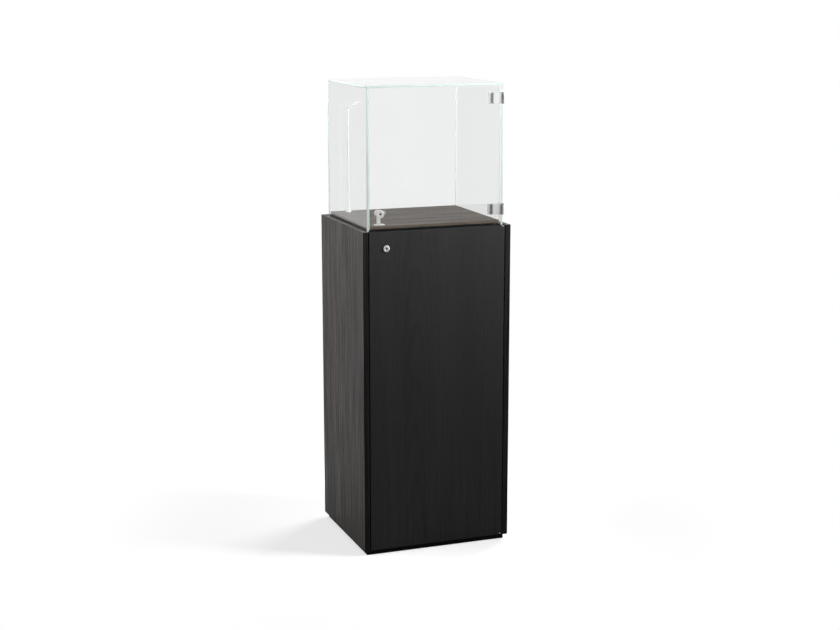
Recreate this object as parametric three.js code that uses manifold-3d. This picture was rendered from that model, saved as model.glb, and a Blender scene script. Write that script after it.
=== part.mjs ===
// Pedestal display case: a veneered base cabinet on a set-back plinth, with a raised deck
// under a bonded glass case. Both the cabinet and the case have a lockable door hung on the
// right. A small light on a stick stands on the deck, fed by a driver under the top panel.
//
// Millimetres, +Z up, front towards -Y. The origin is on the floor, under the middle of the
// whole object's box.

import * as THREE from 'three';
import { mergeVertices } from 'three/addons/utils/BufferGeometryUtils.js';
import Module from 'manifold-3d';

const wasm = await Module();
wasm.setup();

// ---------------------------------------------------------------- driving dimensions

// Cabinet body
const BODY_WIDTH = 450;
const BODY_DEPTH = 392;
const BODY_HEIGHT = 937;           // side panels, from the plinth up
const BOARD = 16;                  // side, back, top and bottom panels, and the shelf
const SEAT_RECESS = 3;             // the top panel lies this far below the side panels' tops
const PLINTH_HEIGHT = 15;
const PLINTH_SETBACK = 10;         // behind the body's front, sides and back
const PLINTH_RAIL_WIDTH = 40;

// Shelf and its four L-shaped supports
const SHELF_RISE = 452;            // underside, above the bottom panel
const SHELF_FRONT_GAP = 6;
const SHELF_SIDE_GAP = 1;
const SUPPORT_INSET = 45;          // from the shelf's front and back edges
const SUPPORT_REACH = 10;
const SUPPORT_DROP = 11;
const SUPPORT_WIDTH = 9;
const SUPPORT_SHEET = 1.5;
const PEG_RADIUS = 2.5;
const PEG_DEPTH = 8;

// Cabinet door, set in between the side panels
const DOOR_THICKNESS = 16;
const DOOR_SIDE_GAP = 3;
const DOOR_TOP_GAP = 1;
const DOOR_BOTTOM_GAP = 1.5;
const DOOR_BACK_GAP = 2;           // to the front edges of the top and bottom panels
const BUMPER_RADIUS = 4.5;
const BUMPER_INSET = 22;           // from the door's left edge

// Pivot hinges of the cabinet door, out of sight in two corner notches
const PIVOT_INSET = 4;             // axis, from the door's front and right faces
const PIVOT_PIN_RADIUS = 1.6;
const PIVOT_PIN_DEPTH = 14;
const PIVOT_HEAD_RADIUS = 3;
const PIVOT_HEAD = 1;
const PIVOT_SHEET = 2;             // bracket tongue
const PIVOT_FLANGE_SHEET = 1.6;    // bracket flange, screwed to a panel's front edge
const PIVOT_FLANGE_LENGTH = 26;
const PIVOT_FLANGE_DROP = 13;
const PIVOT_TONGUE_RADIUS = 3.5;
const PIVOT_PIN_END_GAP = 1;
const PIVOT_NOTCH_DEPTH = 4.5;
const PIVOT_NOTCH_MARGIN = 0.8;

// Glass case
const GLASS = 6;
const CASE_GAP = 2;                // between the glass and the boards round its seat
const CASE_HEIGHT = 408;           // seat to the top of the top pane
const GLASS_DOOR_LIFT = 5;         // over the seat
const GLASS_DOOR_TOP_GAP = 2;
const GLASS_DOOR_LOCK_GAP = 2;
const GLASS_DOOR_HINGE_GAP = 4;

// Deck and the riser that carries it
const RISER_HEIGHT = 6.5;
const RISER_SETBACK = 12;          // inside the deck's edges
const DECK_THICKNESS = 8;
const DECK_GAP = 2;                // to the glass

// Glass door hinges
const HINGE_HEIGHT = 31;
const HINGE_FROM_TOP = 34;         // hinge middle, below the glass door's top edge
const HINGE_FROM_BOTTOM = 43.5;    // hinge middle, above the glass door's bottom edge
const HINGE_AXIS_FORWARD = 8.5;    // axis, in front of the glass door's face
const HINGE_AXIS_SIDE = 7;         // axis, outside the glass door's right edge
const KNUCKLE_RADIUS = 4.5;
const KNUCKLE_GAP = 0.3;
const KNUCKLE_WEB = 7;             // from the clamp out to its knuckle
const HINGE_PIN_RADIUS = 1.8;
const HINGE_PIN_HEAD_RADIUS = 3;
const HINGE_PIN_HEAD = 1.2;
const CLAMP_WALL = 2.6;            // sheet of the clamp on the side pane
const CLAMP_FRONT_WALL = 3.6;
const CLAMP_LENGTH = 26;           // along the side pane, from its front edge
const CLAMP_CORNER = 5;
const LEAF_LENGTH = 38;            // front plate on the glass door
const LEAF_THIN = 3;
const LEAF_THICK = 8;
const LEAF_THIN_LENGTH = 12;       // flat end of the front plate
const LEAF_SLOPE = 2;              // from the flat end up to the full thickness
const LEAF_CORNER = 5;
const BACK_PLATE_LENGTH = 34;
const BACK_PLATE = 3;
const BOSS_RADIUS = 6;             // of the back plate, through the glass
const BOSS_INSET = 19;             // from the glass door's right edge
const PAD_GAP = 0.15;              // thickness of the clear pads between metal and glass

// Cam locks: of the cabinet door, then of the glass door
const WOOD_LOCK = {
  flangeRadius: 9.5, flange: 3, barrelRadius: 8, barrelLength: 22, camLength: 26, nut: 4,
};
const WOOD_LOCK_FROM_SIDE = 50.5;  // axis, from the door's left edge
const WOOD_LOCK_FROM_TOP = 48;
const GLASS_LOCK = {
  flangeRadius: 11.5, flange: 5, barrelRadius: 9, barrelLength: 25.3, camLength: 26, nut: 5,
};
const GLASS_LOCK_FROM_SIDE = 31;   // axis, from the glass door's left edge
const GLASS_LOCK_FROM_BOTTOM = 45;
const LOCK_WALL = 2.6;             // barrel wall round the plug
const LOCK_CLEARANCE = 0.3;
const LOCK_CHAMFER = 1.2;
const KEYWAY_WIDTH = 1.8;
const KEYWAY_LENGTH = 7;
const KEYWAY_MOUTH_RADIUS = 1.4;
const KEYWAY_DEPTH = 4;
const CAM_SHEET = 2.5;
const CAM_WIDTH = 10;
const CAM_SQUARE = 6;
const CAM_STUD_RADIUS = 2.4;
const CAM_STUD_REACH = 1;          // past its nut
const CAM_NUT = 3;
const CAM_NUT_RADIUS = 4.8;        // over its corners
const NUT_RADIUS = 12.5;           // barrel nut, over its corners

// Strikes: an angle under the top panel, and a post on the deck
const STRIKE_SHEET = 2;
const STRIKE_WIDTH = 20;
const STRIKE_DEPTH = 22;
const STRIKE_OVERLAP = 9;          // of the cam behind the angle's upright
const POST_FOOT_WIDTH = 29;
const POST_FOOT_DEPTH = 16;
const POST_FOOT = 3;
const POST_WIDTH = 10;
const POST_DEPTH = 4;
const POST_OFFSET = 3;             // post, right of the lock axis
const FOOT_OFFSET = 4;             // foot, right of the post
const POST_CAM_GAP = 0.5;
const POST_LOCK_GAP = 2;           // under the lock's barrel
const POST_CORNER = 2;

// Light on a stick
const LIGHT_FROM_SIDE = 72;        // pole, from the body's left face
const LIGHT_FROM_BACK = 57;        // pole, from the body's back face
const LIGHT_FOOT_RADIUS = 8;
const LIGHT_FOOT = 3;
const LIGHT_COLLAR_RADIUS = 4.6;
const LIGHT_COLLAR = 9;
const LIGHT_BEVEL = 0.8;
const LIGHT_FLOOR = 1;             // of the foot, under the pole's end
const POLE_RADIUS = 2.5;
const POLE_HEIGHT = 310;           // deck to the head's tilt axis
const POLE_NECK = 6;               // lug under the tilt axis
const NECK_WIDTH = 4.6;
const LUG_RADIUS = 3;
const LUG_THICKNESS = 3;
const HEAD_LENGTH = 38;
const HEAD_WIDTH = 11;
const HEAD_THICKNESS = 6.4;
const HEAD_SLOT = 8;
const HEAD_TILT = 27;              // degrees above level at rest
const TILT_PIN_RADIUS = 1;
const LENS_LENGTH = 24;
const LENS_WIDTH = 7;
const LENS_DEPTH = 2;
const LENS_FROM_TIP = 3;

// Driver of the light, its wire, and the grommet for a supply lead
const DRIVER_LENGTH = 90;
const DRIVER_WIDTH = 40;
const DRIVER_HEIGHT = 24;
const DRIVER_CORNER = 4;
const SOCKET_RADIUS = 4;
const SOCKET_DEPTH = 12;
const WIRE_RADIUS = 1.6;
const WIRE_HOLE_RADIUS = 3;
const GROMMET_RADIUS = 12;         // its bore through the back panel
const GROMMET_WALL = 2;
const GROMMET_LIP = 4;
const GROMMET_LIP_THICKNESS = 2;
const GROMMET_DROP = 62;           // axis, below the top panel's underside

const FIT = 0.3;                   // running gap round pins, plugs and inserts
const OVERRUN = 1;                 // of a cutter past the face it opens, or of a joined piece
const FINE = 32;                   // segments of a visible round
const COARSE = 20;                 // segments of a small or hidden round

// ---------------------------------------------------------------- derived places

const left = -BODY_WIDTH / 2;
const right = BODY_WIDTH / 2;
const front = -(BODY_DEPTH - WOOD_LOCK.flange) / 2;
const back = front + BODY_DEPTH;
const bodyBottom = PLINTH_HEIGHT;
const bodyTop = bodyBottom + BODY_HEIGHT;
const innerLeft = left + BOARD;
const innerRight = right - BOARD;
const innerBack = back - BOARD;
const carcassFront = front + DOOR_THICKNESS + DOOR_BACK_GAP;
const seat = bodyTop - SEAT_RECESS;
const topPanelUnder = seat - BOARD;
const floorTop = bodyBottom + BOARD;

const doorLeft = innerLeft + DOOR_SIDE_GAP;
const doorRight = innerRight - DOOR_SIDE_GAP;
const doorBottom = bodyBottom + DOOR_BOTTOM_GAP;
const doorTop = bodyTop - DOOR_TOP_GAP;
const pivotX = doorRight - PIVOT_INSET;
const pivotY = front + PIVOT_INSET;

const caseLeft = innerLeft + CASE_GAP;
const caseRight = innerRight - CASE_GAP;
const caseFront = carcassFront;
const caseBack = innerBack - CASE_GAP;
const caseTop = seat + CASE_HEIGHT;
const topPaneUnder = caseTop - GLASS;
const glassDoorLeft = caseLeft + GLASS + GLASS_DOOR_LOCK_GAP;
const glassDoorRight = caseRight - GLASS - GLASS_DOOR_HINGE_GAP;
const glassDoorBottom = seat + GLASS_DOOR_LIFT;
const glassDoorTop = topPaneUnder - GLASS_DOOR_TOP_GAP;
const glassDoorBack = caseFront + GLASS;
const hingeX = glassDoorRight + HINGE_AXIS_SIDE;
const hingeY = caseFront - HINGE_AXIS_FORWARD;
const hingeHeights = {
  top: glassDoorTop - HINGE_FROM_TOP,
  bottom: glassDoorBottom + HINGE_FROM_BOTTOM,
};

const deckUnder = seat + RISER_HEIGHT;
const deckTop = deckUnder + DECK_THICKNESS;
const deckLeft = caseLeft + GLASS + DECK_GAP;
const deckRight = caseRight - GLASS - DECK_GAP;
const deckFront = glassDoorBack + DECK_GAP;
const deckBack = caseBack - GLASS - DECK_GAP;

const woodLockX = doorLeft + WOOD_LOCK_FROM_SIDE;
const woodLockZ = doorTop - WOOD_LOCK_FROM_TOP;
const glassLockX = glassDoorLeft + GLASS_LOCK_FROM_SIDE;
const glassLockZ = glassDoorBottom + GLASS_LOCK_FROM_BOTTOM;
const lightX = left + LIGHT_FROM_SIDE;
const lightY = back - LIGHT_FROM_BACK;

// ---------------------------------------------------------------- materials

function finish(color, roughness, metalness = 0, extra = {}) {
  return new THREE.MeshStandardMaterial({ color, roughness, metalness, ...extra });
}

const darkVeneer = finish(0x2b2725, 0.55);
const brownLaminate = finish(0x6b5f58, 0.5);
const blackBoard = finish(0x111111, 0.7);
const clearGlass = finish(0xdfeee9, 0.03, 0, { transparent: true, opacity: 0.3 });
const chrome = finish(0xc9ccce, 0.12, 1);
const zincSteel = finish(0x9a9da0, 0.4, 1);
const whiteEnamel = finish(0xf2f2ef, 0.35);
const lightLens = finish(0xfffdf4, 0.3);
const blackPlastic = finish(0x1a1a1a, 0.5);
const clearRubber = finish(0xbfc3c2, 0.6);

// ---------------------------------------------------------------- geometry helpers

function toSolid(geometry) {
  const bare = geometry.clone();
  for (const name of Object.keys(bare.attributes)) {
    if (name !== 'position') bare.deleteAttribute(name);
  }
  const merged = mergeVertices(bare, 1e-4);
  return new wasm.Manifold(new wasm.Mesh({
    numProp: 3,
    vertProperties: new Float32Array(merged.attributes.position.array),
    triVerts: new Uint32Array(merged.index.array),
  }));
}

function toGeometry(solid) {
  const { vertProperties, triVerts } = solid.getMesh();
  const geometry = new THREE.BufferGeometry();
  geometry.setAttribute('position', new THREE.BufferAttribute(new Float32Array(vertProperties), 3));
  geometry.setIndex(new THREE.BufferAttribute(new Uint32Array(triVerts), 1));
  geometry.computeVertexNormals();
  return geometry;
}

function cut(base, ...tools) {
  return toGeometry(tools.reduce((solid, tool) => solid.subtract(toSolid(tool)), toSolid(base)));
}

function join(base, ...pieces) {
  return toGeometry(pieces.reduce((solid, piece) => solid.add(toSolid(piece)), toSolid(base)));
}

// A box between two corners.
function block(x0, x1, y0, y1, z0, z1) {
  return new THREE.BoxGeometry(x1 - x0, y1 - y0, z1 - z0)
    .translate((x0 + x1) / 2, (y0 + y1) / 2, (z0 + z1) / 2);
}

// Round rods along each axis. a and b are the ends on that axis; p and q are the other two
// coordinates of the centre line, in X, Y, Z order.
function rodX(radius, a, b, p, q, segments = COARSE) {
  return new THREE.CylinderGeometry(radius, radius, b - a, segments)
    .rotateZ(-Math.PI / 2).translate((a + b) / 2, p, q);
}

function rodY(radius, a, b, p, q, segments = COARSE) {
  return new THREE.CylinderGeometry(radius, radius, b - a, segments)
    .translate(p, (a + b) / 2, q);
}

function rodZ(radius, a, b, p, q, segments = COARSE) {
  return new THREE.CylinderGeometry(radius, radius, b - a, segments)
    .rotateX(Math.PI / 2).translate(p, q, (a + b) / 2);
}

// A closed outline of [radius, height] pairs, in either direction, turned about the Y axis.
function turned(outline, segments = FINE) {
  const points = outline.map(([r, h]) => new THREE.Vector2(r, h));
  if (THREE.ShapeUtils.isClockWise(points)) points.reverse();
  return new THREE.LatheGeometry([...points, points[0].clone()], segments);
}

// Flat outlines, drawn in XY and extruded along Z.
function extruded(shape, thickness, curveSegments = 8) {
  return new THREE.ExtrudeGeometry(shape, { depth: thickness, bevelEnabled: false, curveSegments });
}

function polygon(points) {
  return new THREE.Shape(points.map(([x, y]) => new THREE.Vector2(x, y)));
}

// A rectangle with one radius for all its corners, or with a list of four, from lower left and
// anticlockwise.
function roundedRectangle(x0, x1, y0, y1, radii) {
  const [lowerLeft, lowerRight, upperRight, upperLeft] = [radii, radii, radii, radii]
    .map((given, corner) => (Array.isArray(given) ? given[corner] : given));
  const shape = new THREE.Shape();
  shape.moveTo(x0 + lowerLeft, y0);
  shape.lineTo(x1 - lowerRight, y0);
  if (lowerRight) shape.absarc(x1 - lowerRight, y0 + lowerRight, lowerRight, -Math.PI / 2, 0);
  shape.lineTo(x1, y1 - upperRight);
  if (upperRight) shape.absarc(x1 - upperRight, y1 - upperRight, upperRight, 0, Math.PI / 2);
  shape.lineTo(x0 + upperLeft, y1);
  if (upperLeft) shape.absarc(x0 + upperLeft, y1 - upperLeft, upperLeft, Math.PI / 2, Math.PI);
  shape.lineTo(x0, y0 + lowerLeft);
  if (lowerLeft) shape.absarc(x0 + lowerLeft, y0 + lowerLeft, lowerLeft, Math.PI, Math.PI * 1.5);
  return shape;
}

// Stands an extrusion made along Z up on edge, so that it runs along Y from y0.
function facingFront(geometry, thickness, y0) {
  return geometry.rotateX(Math.PI / 2).translate(0, y0 + thickness, 0);
}

// A hexagonal nut along Y, with its bore.
function hexNut(cornerRadius, boreRadius, y0, y1) {
  const body = rodY(cornerRadius, y0, y1, 0, 0, 6);
  return cut(body, rodY(boreRadius, y0 - OVERRUN, y1 + OVERRUN, 0, 0));
}

function part(name, geometry, material) {
  const mesh = new THREE.Mesh(geometry, material);
  mesh.name = name;
  return mesh;
}

function placed(x, y, z, ...children) {
  const group = new THREE.Group();
  group.position.set(x, y, z);
  group.add(...children);
  return group;
}

// ---------------------------------------------------------------- plinth and body

function plinth() {
  const x0 = left + PLINTH_SETBACK;
  const x1 = right - PLINTH_SETBACK;
  const y0 = front + PLINTH_SETBACK;
  const y1 = back - PLINTH_SETBACK;
  const w = PLINTH_RAIL_WIDTH;
  const rail = (name, ...edges) => part(name, block(...edges, 0, PLINTH_HEIGHT), blackBoard);
  return [
    rail('plinth_front', x0, x1, y0, y0 + w),
    rail('plinth_back', x0, x1, y1 - w, y1),
    rail('plinth_left', x0, x0 + w, y0 + w, y1 - w),
    rail('plinth_right', x1 - w, x1, y0 + w, y1 - w),
  ];
}

const shelfUnder = floorTop + SHELF_RISE;
const shelfFront = carcassFront + SHELF_FRONT_GAP;
const supportRows = [shelfFront + SUPPORT_INSET, innerBack - SHELF_SIDE_GAP - SUPPORT_INSET];
const pegZ = shelfUnder - SUPPORT_DROP / 2;

function sidePanel(name, outerX, innerX) {
  const slab = block(Math.min(outerX, innerX), Math.max(outerX, innerX), front, back,
    bodyBottom, bodyTop);
  const pegHoles = supportRows.map((y) => rodX(
    PEG_RADIUS + FIT, innerX - PEG_DEPTH - FIT, innerX + PEG_DEPTH + FIT, y, pegZ,
  ));
  return part(name, cut(slab, ...pegHoles), darkVeneer);
}

// L-shaped support: a peg in the side panel, a leg down the panel and a leg under the shelf.
function shelfSupport(name, wallX, y, side) {
  const outline = polygon([
    [0, -SUPPORT_DROP], [SUPPORT_SHEET, -SUPPORT_DROP], [SUPPORT_SHEET, -SUPPORT_SHEET],
    [SUPPORT_REACH, -SUPPORT_SHEET], [SUPPORT_REACH, 0], [0, 0],
  ]);
  const angle = facingFront(extruded(outline, SUPPORT_WIDTH), SUPPORT_WIDTH, -SUPPORT_WIDTH / 2);
  const peg = rodX(PEG_RADIUS, -PEG_DEPTH, SUPPORT_SHEET / 2, 0, -SUPPORT_DROP / 2);
  const geometry = join(angle, peg);
  if (side < 0) geometry.rotateZ(Math.PI);
  return placed(wallX, y, shelfUnder, part(name, geometry, zincSteel));
}

function body() {
  const wireHole = rodZ(WIRE_HOLE_RADIUS, topPanelUnder - OVERRUN, seat + OVERRUN, lightX, lightY);
  const grommetZ = topPanelUnder - GROMMET_DROP;
  const grommetHole = rodY(GROMMET_RADIUS + GROMMET_WALL + FIT, innerBack - OVERRUN,
    back + OVERRUN, lightX, grommetZ, FINE);
  const grommetSink = rodY(GROMMET_RADIUS + GROMMET_LIP + FIT, back - GROMMET_LIP_THICKNESS,
    back + OVERRUN, lightX, grommetZ, FINE);
  const lip = GROMMET_LIP_THICKNESS;
  const grommet = turned([
    [GROMMET_RADIUS, -BOARD], [GROMMET_RADIUS, 0], [GROMMET_RADIUS + GROMMET_LIP, 0],
    [GROMMET_RADIUS + GROMMET_LIP, -lip + FIT], [GROMMET_RADIUS + GROMMET_WALL, -lip + FIT],
    [GROMMET_RADIUS + GROMMET_WALL, -BOARD],
  ]);
  const shelf = block(
    innerLeft + SHELF_SIDE_GAP, innerRight - SHELF_SIDE_GAP,
    shelfFront, innerBack - SHELF_SIDE_GAP, shelfUnder, shelfUnder + BOARD,
  );
  const [frontRow, backRow] = supportRows;
  return [
    sidePanel('side_panel_left', left, innerLeft),
    sidePanel('side_panel_right', right, innerRight),
    part('bottom_panel',
      block(innerLeft, innerRight, carcassFront, innerBack, bodyBottom, floorTop), darkVeneer),
    part('top_panel', cut(
      block(innerLeft, innerRight, carcassFront, innerBack, topPanelUnder, seat), wireHole,
    ), blackBoard),
    part('back_panel', cut(
      block(innerLeft, innerRight, innerBack, back, bodyBottom, bodyTop), grommetHole, grommetSink,
    ), darkVeneer),
    placed(lightX, back, grommetZ, part('cable_grommet', grommet, blackPlastic)),
    part('shelf', shelf, darkVeneer),
    shelfSupport('shelf_support_front_left', innerLeft, frontRow, 1),
    shelfSupport('shelf_support_back_left', innerLeft, backRow, 1),
    shelfSupport('shelf_support_front_right', innerRight, frontRow, -1),
    shelfSupport('shelf_support_back_right', innerRight, backRow, -1),
  ];
}

// ---------------------------------------------------------------- cabinet door

// The notch in a door corner, round a bracket tongue; up is 1 at the top and -1 at the bottom.
function pivotNotch(edgeZ, up) {
  const x0 = pivotX - PIVOT_TONGUE_RADIUS - PIVOT_NOTCH_MARGIN;
  const [z0, z1] = [edgeZ - up * PIVOT_NOTCH_DEPTH, edgeZ + up * OVERRUN].sort((a, b) => a - b);
  return block(x0, doorRight + OVERRUN, front - OVERRUN, front + DOOR_THICKNESS + OVERRUN, z0, z1);
}

function pivotHole(edgeZ, up) {
  const mouth = edgeZ - up * (PIVOT_NOTCH_DEPTH - OVERRUN);
  const end = edgeZ - up * (PIVOT_NOTCH_DEPTH + PIVOT_PIN_DEPTH);
  return rodZ(PIVOT_PIN_RADIUS + FIT, Math.min(mouth, end), Math.max(mouth, end), pivotX, pivotY);
}

// Bracket: a flange on the front edge of the top or bottom panel, and a tongue out to the axis.
function pivotBracket(name, z0, up) {
  const tongueTop = z0 + PIVOT_SHEET;
  const flangeBack = carcassFront;
  const flangeFront = flangeBack - PIVOT_FLANGE_SHEET;
  const x1 = pivotX + PIVOT_TONGUE_RADIUS;
  const flangeRight = pivotX - PIVOT_INSET;
  const flangeLeft = flangeRight - PIVOT_FLANGE_LENGTH;
  const flangeBottom = up > 0 ? tongueTop - PIVOT_FLANGE_DROP : z0;
  const tongue = join(
    block(pivotX - PIVOT_TONGUE_RADIUS, x1, pivotY, flangeBack, z0, tongueTop),
    rodZ(PIVOT_TONGUE_RADIUS, z0, tongueTop, pivotX, pivotY),
    block(flangeLeft, x1, flangeFront, flangeBack, z0, tongueTop),
    block(flangeLeft, flangeRight, flangeFront, flangeBack,
      flangeBottom, flangeBottom + PIVOT_FLANGE_DROP),
  );
  const hole = rodZ(PIVOT_PIN_RADIUS + FIT / 2, z0 - OVERRUN, tongueTop + OVERRUN, pivotX, pivotY);
  return part(name, cut(tongue, hole), zincSteel);
}

function cabinetDoor() {
  const slab = block(doorLeft, doorRight, front, front + DOOR_THICKNESS, doorBottom, doorTop);
  const lockHole = rodY(WOOD_LOCK.barrelRadius + FIT, front - OVERRUN,
    front + DOOR_THICKNESS + OVERRUN, woodLockX, woodLockZ, FINE);
  const door = cut(slab, lockHole, pivotNotch(doorTop, 1), pivotNotch(doorBottom, -1),
    pivotHole(doorTop, 1), pivotHole(doorBottom, -1));

  // The top tongue lies flush with the seat. Its pin hangs from a head, and the bottom pin
  // carries the door on its own head.
  const topTongue = seat - PIVOT_SHEET;
  const topNotch = doorTop - PIVOT_NOTCH_DEPTH;
  const bottomNotch = doorBottom + PIVOT_NOTCH_DEPTH;
  const bottomTongueTop = bottomNotch - FIT - PIVOT_HEAD;
  const bottomTongue = bottomTongueTop - PIVOT_SHEET;
  const topPin = join(
    rodZ(PIVOT_PIN_RADIUS, topNotch - PIVOT_PIN_DEPTH + PIVOT_PIN_END_GAP, seat, pivotX, pivotY),
    rodZ(PIVOT_HEAD_RADIUS, seat, seat + PIVOT_HEAD, pivotX, pivotY),
  );
  const bottomPin = join(
    rodZ(PIVOT_PIN_RADIUS, bottomTongue, bottomNotch + PIVOT_PIN_DEPTH - PIVOT_PIN_END_GAP,
      pivotX, pivotY),
    rodZ(PIVOT_HEAD_RADIUS, bottomTongueTop, bottomTongueTop + PIVOT_HEAD, pivotX, pivotY),
  );
  const bumper = (name, z) => part(name, rodY(BUMPER_RADIUS, front + DOOR_THICKNESS + FIT,
    carcassFront, doorLeft + BUMPER_INSET, z), clearRubber);
  return [
    part('front_door', door, darkVeneer),
    pivotBracket('pivot_bracket_top', topTongue, 1),
    pivotBracket('pivot_bracket_bottom', bottomTongue, -1),
    part('pivot_pin_top', topPin, zincSteel),
    part('pivot_pin_bottom', bottomPin, zincSteel),
    bumper('door_bumper_top', (topPanelUnder + seat) / 2),
    bumper('door_bumper_bottom', (bodyBottom + floorTop) / 2),
  ];
}

// ---------------------------------------------------------------- cam locks

// A cam lock through a panel. Its axis is Y, the panel's front face is at y = 0, and the cam
// points along X, to the side that camSide gives.
function camLock(name, lock, panel, camSide) {
  const bore = lock.barrelRadius - LOCK_WALL;
  const rim = lock.flangeRadius;
  const plugRadius = bore - LOCK_CLEARANCE;
  const barrelEnd = lock.barrelLength;
  const face = -lock.flange;

  const housing = turned([
    [bore, face], [bore, barrelEnd], [lock.barrelRadius, barrelEnd], [lock.barrelRadius, -PAD_GAP],
    [rim, -PAD_GAP], [rim, face + LOCK_CHAMFER], [rim - LOCK_CHAMFER, face],
  ]);

  const camStart = barrelEnd + LOCK_CLEARANCE;
  const camEnd = camStart + CAM_SHEET;
  const half = CAM_SQUARE / 2;
  const plug = cut(
    join(
      rodY(plugRadius, face + LOCK_CLEARANCE, barrelEnd, 0, 0, FINE),
      block(-half, half, barrelEnd - OVERRUN, camEnd, -half, half),
      rodY(CAM_STUD_RADIUS, camEnd - OVERRUN, camEnd + CAM_NUT + CAM_STUD_REACH, 0, 0),
    ),
    block(-KEYWAY_WIDTH / 2, KEYWAY_WIDTH / 2, face - OVERRUN, face + KEYWAY_DEPTH,
      -KEYWAY_LENGTH / 2, KEYWAY_LENGTH / 2),
    rodY(KEYWAY_MOUTH_RADIUS, face - OVERRUN, face + KEYWAY_DEPTH, 0, 0),
  );

  const camHalf = CAM_WIDTH / 2;
  const tip = lock.camLength;
  const [camX0, camX1] = camSide > 0 ? [-camHalf, tip] : [-tip, camHalf];
  const camHole = half + LOCK_CLEARANCE;
  const cam = cut(
    facingFront(extruded(roundedRectangle(camX0, camX1, -camHalf, camHalf, camHalf), CAM_SHEET),
      CAM_SHEET, camStart),
    block(-camHole, camHole, camStart - OVERRUN, camEnd + OVERRUN, -camHole, camHole),
  );

  const nutStart = panel + PAD_GAP;
  return [
    part(`${name}_housing`, housing, chrome),
    part(`${name}_plug`, plug, chrome),
    part(`${name}_cam`, cam, zincSteel),
    part(`${name}_cam_nut`, hexNut(CAM_NUT_RADIUS, CAM_STUD_RADIUS + FIT / 2,
      camEnd + FIT / 2, camEnd + CAM_NUT), zincSteel),
    part(`${name}_barrel_nut`, hexNut(NUT_RADIUS, lock.barrelRadius + FIT,
      nutStart, nutStart + lock.nut), zincSteel),
  ];
}

// Angle under the top panel, in front of the cabinet cam's raised tip.
function cabinetStrike() {
  const camFace = front + WOOD_LOCK.barrelLength + LOCK_CLEARANCE;
  const uprightBack = camFace - POST_CAM_GAP;
  const uprightFront = uprightBack - STRIKE_SHEET;
  const x0 = woodLockX - STRIKE_WIDTH / 2;
  const x1 = woodLockX + STRIKE_WIDTH / 2;
  const lip = woodLockZ + WOOD_LOCK.camLength - STRIKE_OVERLAP;
  return part('cabinet_lock_strike', join(
    block(x0, x1, uprightFront, uprightBack, lip, topPanelUnder),
    block(x0, x1, uprightFront, uprightFront + STRIKE_DEPTH,
      topPanelUnder - STRIKE_SHEET, topPanelUnder),
  ), zincSteel);
}

// Post on the deck, in front of the glass door cam's lowered tip.
function deckStrike() {
  const camFace = caseFront + GLASS_LOCK.barrelLength + LOCK_CLEARANCE;
  const postBack = camFace - POST_CAM_GAP;
  const postFront = postBack - POST_DEPTH;
  const postX = glassLockX + POST_OFFSET;
  const footX = postX + FOOT_OFFSET;
  const postTop = glassLockZ - GLASS_LOCK.barrelRadius - POST_LOCK_GAP;
  const foot = extruded(roundedRectangle(footX - POST_FOOT_WIDTH / 2, footX + POST_FOOT_WIDTH / 2,
    postFront, postFront + POST_FOOT_DEPTH, POST_CORNER), POST_FOOT).translate(0, 0, deckTop);
  const post = block(postX - POST_WIDTH / 2, postX + POST_WIDTH / 2, postFront, postBack,
    deckTop + POST_FOOT / 2, postTop);
  return part('deck_lock_strike', join(foot, post), chrome);
}

// ---------------------------------------------------------------- deck and glass

function deck() {
  const wireHole = rodZ(WIRE_HOLE_RADIUS, seat - OVERRUN, deckTop + OVERRUN, lightX, lightY);
  const riser = block(deckLeft + RISER_SETBACK, deckRight - RISER_SETBACK,
    deckFront + RISER_SETBACK, deckBack - RISER_SETBACK, seat, deckUnder);
  const panel = block(deckLeft, deckRight, deckFront, deckBack, deckUnder, deckTop);
  return [
    part('deck_riser', cut(riser, wireHole), blackBoard),
    part('deck_panel', cut(panel, wireHole), brownLaminate),
  ];
}

function glassPanes() {
  const bossX = glassDoorRight - BOSS_INSET;
  const doorSlab = block(glassDoorLeft, glassDoorRight, caseFront, glassDoorBack,
    glassDoorBottom, glassDoorTop);
  const through = (radius, x, z) => rodY(radius, caseFront - OVERRUN, glassDoorBack + OVERRUN,
    x, z, FINE);
  const door = cut(doorSlab,
    through(GLASS_LOCK.barrelRadius + FIT, glassLockX, glassLockZ),
    through(BOSS_RADIUS + FIT, bossX, hingeHeights.top),
    through(BOSS_RADIUS + FIT, bossX, hingeHeights.bottom));
  const pane = (name, ...edges) => part(name, block(...edges), clearGlass);
  return [
    pane('glass_left', caseLeft, caseLeft + GLASS, caseFront, caseBack, seat, topPaneUnder),
    pane('glass_right', caseRight - GLASS, caseRight, caseFront, caseBack, seat, topPaneUnder),
    pane('glass_back', caseLeft + GLASS, caseRight - GLASS, caseBack - GLASS, caseBack,
      seat, topPaneUnder),
    pane('glass_top', caseLeft, caseRight, caseFront, caseBack, topPaneUnder, caseTop),
    part('glass_door', door, clearGlass),
  ];
}

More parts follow.
